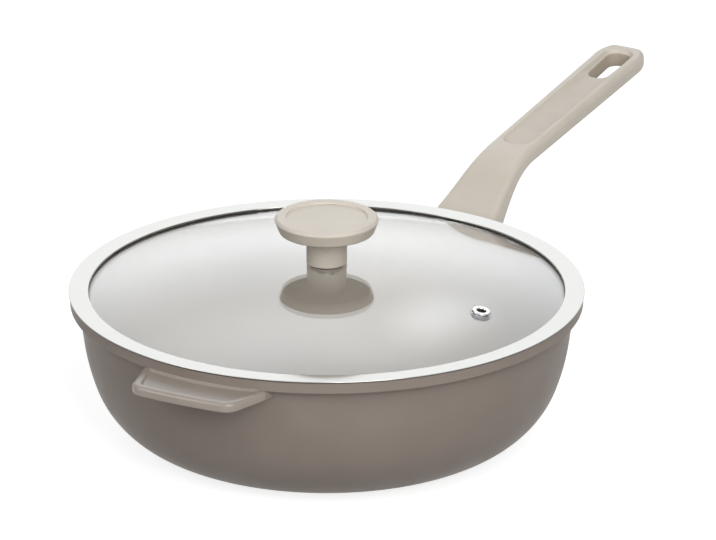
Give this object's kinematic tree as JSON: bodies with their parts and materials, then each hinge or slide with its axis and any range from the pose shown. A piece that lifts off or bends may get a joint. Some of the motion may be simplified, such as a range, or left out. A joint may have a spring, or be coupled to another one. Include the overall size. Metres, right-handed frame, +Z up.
{
  "type": "deep frying pan",
  "caption": "Deep round cooking pan with a long moulded handle, a cast helper tab and a domed glass lid with a steel rim, a steam vent and a disc knob.",
  "frame": {"origin": "middle of the pan's underside, where it stands on the table", "axes": "+Z up, +X along the long handle and -X through the helper tab"},
  "size_m": [0.535, 0.292, 0.1317],
  "materials": {
    "pan_body": "satin taupe lacquer on cast aluminium",
    "ceramic_lining": "smooth non-stick ceramic",
    "induction_plate": "turned",
    "main_handle": "soft satin",
    "fastener_steel": "bright",
    "lid_glass": "clear, tempered",
    "lid_ring": "polished",
    "silicone": "matt",
    "knob": "soft satin",
    "knob_insert": "turned",
    "vent_eyelet": "polished"
  },
  "bodies": {
    "pan": {"pan_body": "pan_body", "ceramic_lining": "ceramic_lining", "induction_plate": "induction_plate", "main_handle": "main_handle", "handle_screw": "fastener_steel", "handle_screw_washer": "fastener_steel"},
    "lid": {"lid_glass": "lid_glass", "lid_ring": "lid_ring", "ring_bead": "silicone", "knob": "knob", "knob_insert": "knob_insert", "knob_seat_washer": "silicone", "lid_lower_gasket": "silicone", "knob_screw_washer": "fastener_steel", "knob_screw": "fastener_steel", "vent_eyelet": "vent_eyelet", "vent_gasket": "silicone"}
  },
  "joints": [
    {"name": "lid_lift", "type": "slide", "parent": "pan", "child": "lid", "axis": [0, 0, 1], "range_m": [0, 0.15]}
  ]
}
